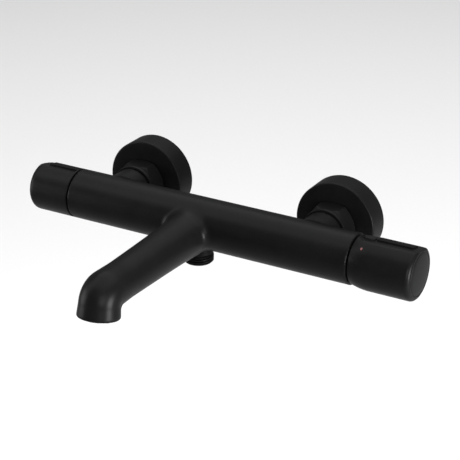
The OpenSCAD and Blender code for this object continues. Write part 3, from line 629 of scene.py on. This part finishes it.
# ---------------------------------------------------------------- materials
class Nodes:
    """A material under construction: each method adds nodes and gives back their output."""

    def __init__(self, name):
        self.mat = bpy.data.materials.new(name)
        self.mat.use_nodes = True
        self.tree = self.mat.node_tree
        self.bsdf = self.tree.nodes["Principled BSDF"]

    def add(self, kind, inputs=(), **props):
        node = self.tree.nodes.new(kind)
        for k, v in props.items():
            setattr(node, k, v)
        for k, v in dict(inputs).items():
            if isinstance(v, bpy.types.NodeSocket):
                self.tree.links.new(v, node.inputs[k])
            else:
                node.inputs[k].default_value = v
        return node

    def link(self, out, socket):
        """Feeds an output to one of the surface's own inputs."""
        self.tree.links.new(out, self.bsdf.inputs[socket])

    def noise(self, scale, detail, roughness=0.5):
        """Noise fixed to the object, scale in patches per metre."""
        coords = self.add("ShaderNodeTexCoord")
        return self.add("ShaderNodeTexNoise", {"Vector": coords.outputs["Object"], "Scale": scale,
                                               "Detail": detail, "Roughness": roughness}).outputs["Fac"]

    def spread(self, fac, low, high, from_low=0.3, from_high=0.7):
        """Maps a value from one span to another; the default span is that of noise."""
        return self.add("ShaderNodeMapRange", {"Value": fac, "From Min": from_low, "From Max": from_high,
                                               "To Min": low, "To Max": high}).outputs["Result"]

    def blend(self, fac, a, b):
        """A mix of two colours, or of colours that other nodes give."""
        mix = self.add("ShaderNodeMix", data_type="RGBA")
        self.tree.links.new(fac, mix.inputs["Factor"])
        for key, colour in (("A", a), ("B", b)):
            if isinstance(colour, bpy.types.NodeSocket):
                self.tree.links.new(colour, mix.inputs[key])
            else:
                mix.inputs[key].default_value = (*colour, 1)
        return mix.outputs["Result"]

    def product(self, a, b):
        return self.add("ShaderNodeMath", {0: a, 1: b}, operation="MULTIPLY").outputs[0]

    def edges(self, radius):
        """1 along the edges of a mesh and 0 on its open faces."""
        rounded = self.add("ShaderNodeBevel", {"Radius": radius}, samples=4).outputs["Normal"]
        plain = self.add("ShaderNodeNewGeometry").outputs["Normal"]
        same = self.add("ShaderNodeVectorMath", {0: rounded, 1: plain}, operation="DOT_PRODUCT")
        return self.spread(same.outputs["Value"], 1, 0, 0.9, 0.995)

    def bump(self, height, distance):
        """A normal that follows a height of the given size in metres."""
        return self.add("ShaderNodeBump", {"Height": height, "Strength": 1.0,
                                           "Distance": distance}).outputs["Normal"]


def surface(name, dark, light, rough, grain=1500.0, relief=0.00002, metallic=0.0, specular=0.5):
    """A finish whose colour, roughness and fine relief vary a little, lighter along the edges: partly edge wear,
    partly a painted highlight.
    """
    patches, wear_and_highlight_patches, edge_width = 60.0, 400.0, 0.0005
    n = Nodes(name)
    broad = n.noise(patches, 5)
    fine = n.noise(grain, 3, 0.6)
    # edge mask and its lighter colour, in patches: partly edge wear, partly a painted highlight along the edges
    worn_and_highlit_edges = n.product(n.edges(edge_width), n.spread(n.noise(wear_and_highlight_patches, 4), 0.2, 1))
    rubbed_and_highlit_colour = tuple(min(1, c * 1.5 + 0.002) for c in light)
    n.link(n.blend(worn_and_highlit_edges, n.blend(n.spread(broad, 0, 1), dark, light), rubbed_and_highlit_colour), "Base Color")
    uneven = n.product(n.spread(broad, 0, 1), n.spread(fine, 0, 1))
    n.link(n.spread(uneven, rough[0], rough[1], 0, 1), "Roughness")
    n.link(n.bump(fine, relief), "Normal")
    n.bsdf.inputs["Metallic"].default_value = metallic
    n.bsdf.inputs["Specular IOR Level"].default_value = specular
    return n.mat


# for each of the record's material slots: darkest colour, lightest colour, span of roughness
FINISH = {
    "black_coating": surface("matte_black_coating", (0.0044, 0.0044, 0.0045), (0.0060, 0.0060, 0.0061),
                             (0.34, 0.42), grain=3200, relief=0.000012, specular=0.075),
    "black_plastic": surface("moulded_black", (0.0035, 0.0035, 0.0035), (0.0045, 0.0045, 0.0045),
                             (0.45, 0.55), grain=1800, relief=0.00003, specular=0.06),
    "dark_metal": surface("dark_metal", (0.002, 0.002, 0.002), (0.004, 0.004, 0.004),
                          (0.35, 0.5), grain=2200, specular=0.06),
    "brass": surface("machined_brass", (0.55, 0.40, 0.17), (0.72, 0.55, 0.27), (0.28, 0.42), metallic=1.0),
    "steel": surface("turned_steel", (0.42, 0.43, 0.44), (0.6, 0.61, 0.62), (0.25, 0.4), metallic=1.0),
    "rubber": surface("seal_rubber", (0.012, 0.012, 0.012), (0.02, 0.02, 0.02), (0.6, 0.75)),
    "white_plastic": surface("white_plastic", (0.7, 0.7, 0.67), (0.8, 0.8, 0.77), (0.4, 0.5)),
    "grey_plastic": surface("grey_plastic", (0.13, 0.135, 0.14), (0.17, 0.175, 0.18), (0.4, 0.5)),
    "button_grey": surface("button_grey", (0.010, 0.010, 0.0102), (0.014, 0.014, 0.0143),
                           (0.5, 0.6), grain=1800, specular=0.06),
    "ceramic": surface("lapped_ceramic", (0.8, 0.79, 0.76), (0.88, 0.87, 0.84), (0.1, 0.2)),
    "red_mark": surface("red_enamel", (0.13, 0.028, 0.03), (0.18, 0.04, 0.042), (0.3, 0.4)),
}
slot_of = {s["node"]: s["material_slot"] for s in frame["record"]["subparts"]}
for node, ob in frame["nodes"].items():
    ob.data.materials.clear()
    ob.data.materials.append(FINISH[slot_of[node]])


def finish_piece(ob, node, body):
    """Gives a piece its finish, ties it to a body, and puts it in a CAD node's place."""
    ob.data.materials.clear()
    ob.data.materials.append(FINISH[slot_of[node]])
    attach(ob, body)
    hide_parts(node)


# ---------------------------------------------------------------- the handles' pieces
def tilt_towards_wall(matrix):
    """The flat's angle in a handle's frame, whose y points to the wall on one side only."""
    return FLAT_TILT if (matrix.to_3x3() @ Vector((0, 1, 0))).y > 0 else -FLAT_TILT


right_tilt = tilt_towards_wall(ON_RIGHT)
left_tilt = tilt_towards_wall(ON_LEFT)
ON_BUTTON = on_side(ON_RIGHT, right_tilt, BUTTON_Z)


def build_thermostat_handle():
    handle = lathe("thermostat_grip", thermostat_outline(), ON_RIGHT, angles=handle_angles(right_tilt),
                   shape=flat_cut(right_tilt, THERMO_FLAT_FROM, ROLL_FROM, ROLL), sharp=28)
    carve(handle, pillow("pocket", BUTTON_L + 2 * BUTTON_GAP, BUTTON_W + 2 * BUTTON_GAP,
                         POCKET_FLOOR, POCKET_TOP, ON_BUTTON, edge=0.1))
    return handle


def build_button():
    """The stop button, hollow below for its spring."""
    button = pillow("stop_button_cap", BUTTON_L, BUTTON_W, BUTTON_BASE, BUTTON_TOP, ON_BUTTON,
                    edge=0.9, dome=0.25)
    carve(button, plug("spring_recess", SPRING_RECESS_R, BUTTON_BASE - 0.3, SPRING_RECESS_TOP, ON_BUTTON))
    return button


def build_grip(name, node, end, tilt, matrix):
    """The ridge on a handle's flat, as long as its CAD node and shifted towards the wall."""
    low, high = sorted(abs(c[0] - end) for c in box_mm(node))
    shift = -math.copysign(GRIP_SHIFT, tilt)
    on_flat = on_side(matrix, tilt, (low + high) / 2) @ Matrix.Translation((0, shift, FLAT_R + GRIP_LIFT))
    return block(name, (high - low, GRIP_W, GRIP_H), GRIP_EDGE, on_flat)


def build_mark():
    """The red dot, a flat pin with a rounded rim."""
    r, top, foot = 0.98, 17.98, 17.1
    outline = [(0, top), (0.5, top - 0.01), (0.85, top - 0.06), (r, top - 0.18), (r, foot), (0, foot)]
    turn = -math.copysign(MARK_TURN, right_tilt)
    return lathe("temperature_dot", outline, on_side(ON_RIGHT, turn, MARK_Z), 32)


def build_collar():
    """The ring between the body's end and the thermostat handle."""
    bore, r, back, front, edge = 9, 12.9, 0.1, 2.3, 0.2
    outline = [(bore, back), (r, back), (r, front - edge), (r - edge, front), (bore, front)]
    return lathe("thermostat_seat_ring", outline, ON_RIGHT)


def build_flow_handle():
    return lathe("flow_grip", flow_outline(), ON_LEFT, angles=handle_angles(left_tilt),
                 shape=flat_cut(left_tilt, FLOW_FLAT_FROM), sharp=28)


# ---------------------------------------------------------------- all pieces, in place of their CAD nodes
finish_piece(build_body(), "body", "mixer")
for side in ("left", "right"):
    finish_piece(build_escutcheon(side), "escutcheon_" + side, "mixer")
    finish_piece(build_union_nut(side), "union_nut_" + side, "mixer")
    finish_piece(build_union(side), "eccentric_union_" + side, "mixer")
finish_piece(build_nipple(), "shower_nipple", "mixer")

finish_piece(build_thermostat_handle(), "thermostat_handle", "thermostat_knob")
finish_piece(build_button(), "safety_button", "stop_button")
finish_piece(build_grip("thermostat_ridge", "thermostat_grip_strip", RIGHT_END, right_tilt, ON_RIGHT),
             "thermostat_grip_strip", "thermostat_knob")
finish_piece(lathe("thermostat_end_disc", cap_outline(THERMO_CAP_R, THERMO_LEN, skirt=12.5), ON_RIGHT),
             "thermostat_cap", "thermostat_knob")
finish_piece(build_mark(), "temperature_mark", "thermostat_knob")
finish_piece(build_collar(), "thermostat_collar", "mixer")

finish_piece(build_flow_handle(), "flow_handle", "flow_knob")
finish_piece(build_grip("flow_ridge", "flow_grip_strip", LEFT_END, left_tilt, ON_LEFT),
             "flow_grip_strip", "flow_knob")
finish_piece(lathe("flow_end_disc", cap_outline(FLOW_CAP_R, FLOW_LEN, skirt=11.9), ON_LEFT),
             "flow_cap", "flow_knob")


# ---------------------------------------------------------------- stage, light and camera
def build_floor():
    """A wide floor, pale in view and dimmer in reflections, as if lit around the object only."""
    half, below = 8, 0.55
    z = cad_box[0].z - below
    corners = [(-half, -half, z), (half, -half, z), (half, half, z), (-half, half, z)]
    me = bpy.data.meshes.new("studio_floor")
    me.from_pydata(corners, [], [(0, 1, 2, 3)])
    floor = bpy.data.objects.new("studio_floor", me)
    bpy.context.scene.collection.objects.link(floor)
    pale = Nodes("pale_floor")
    seen = pale.add("ShaderNodeLightPath").outputs["Is Camera Ray"]
    pale.link(pale.blend(seen, (0.5, 0.5, 0.5), (0.92, 0.92, 0.92)), "Base Color")
    pale.bsdf.inputs["Roughness"].default_value = 0.9
    pale.bsdf.inputs["Specular IOR Level"].default_value = 0.1
    me.materials.append(pale.mat)
    return floor


def area_light(name, where, target, size, power):
    """A square light, where and target in metres, power in watts."""
    data = bpy.data.lights.new(name, "AREA")
    data.energy, data.size = power, size
    ob = bpy.data.objects.new(name, data)
    bpy.context.scene.collection.objects.link(ob)
    ob.location = where
    ob.rotation_mode = "QUATERNION"
    ob.rotation_quaternion = (Vector(target) - Vector(where)).to_track_quat("-Z", "Y")


build_floor()

middle, left_half, right_half = (0, AXIS_Y * MM, 0), (-0.12, -0.06, 0), (0.12, -0.03, 0)
area_light("overhead", (0.0, 0.6, 2.6), (0, 0.4, 0), 4.5, 120)
area_light("key_right", (1.25, -0.25, -0.05), middle, 0.45, 26)
area_light("key_left", (-1.1, -0.5, 1.0), middle, 0.8, 4)
area_light("side_left", (-0.65, -0.4, 0.05), left_half, 0.4, 2.8)
area_light("side_right", (0.45, -0.6, 0.2), right_half, 0.3, 2.2)

world = bpy.context.scene.world or bpy.data.worlds.new("studio")
bpy.context.scene.world = world
world.use_nodes = True
world.node_tree.nodes["Background"].inputs["Color"].default_value = (1, 1, 1, 1)
world.node_tree.nodes["Background"].inputs["Strength"].default_value = 0.2
bpy.context.scene.view_settings.view_transform = "Standard"

# the camera looks at the middle of the body from the right and above, a little off to one side
LENS, SENSOR = 123.88, 36.0
AZ, EL, ROLL_ANGLE = math.radians(29.38), math.radians(24.17), math.radians(0.51)
AIM = Vector((0, -0.060, 0))
DISTANCE, OFF_RIGHT, OFF_UP = 1.06366, 0.016302, -0.004939


def place_camera():
    back = Vector((math.sin(AZ) * math.cos(EL), -math.cos(AZ) * math.cos(EL), math.sin(EL)))
    flat_right = Vector((math.cos(AZ), math.sin(AZ), 0))
    upright = back.cross(flat_right)
    right = flat_right * math.cos(ROLL_ANGLE) + upright * math.sin(ROLL_ANGLE)
    up = -flat_right * math.sin(ROLL_ANGLE) + upright * math.cos(ROLL_ANGLE)
    data = bpy.data.cameras.new("camera")
    data.sensor_width, data.lens = SENSOR, LENS
    camera = bpy.data.objects.new("camera", data)
    bpy.context.scene.collection.objects.link(camera)
    pose = Matrix((right, up, back)).transposed().to_4x4()
    pose.translation = AIM + back * DISTANCE + right * OFF_RIGHT + up * OFF_UP
    camera.matrix_world = pose
    bpy.context.scene.camera = camera


place_camera()
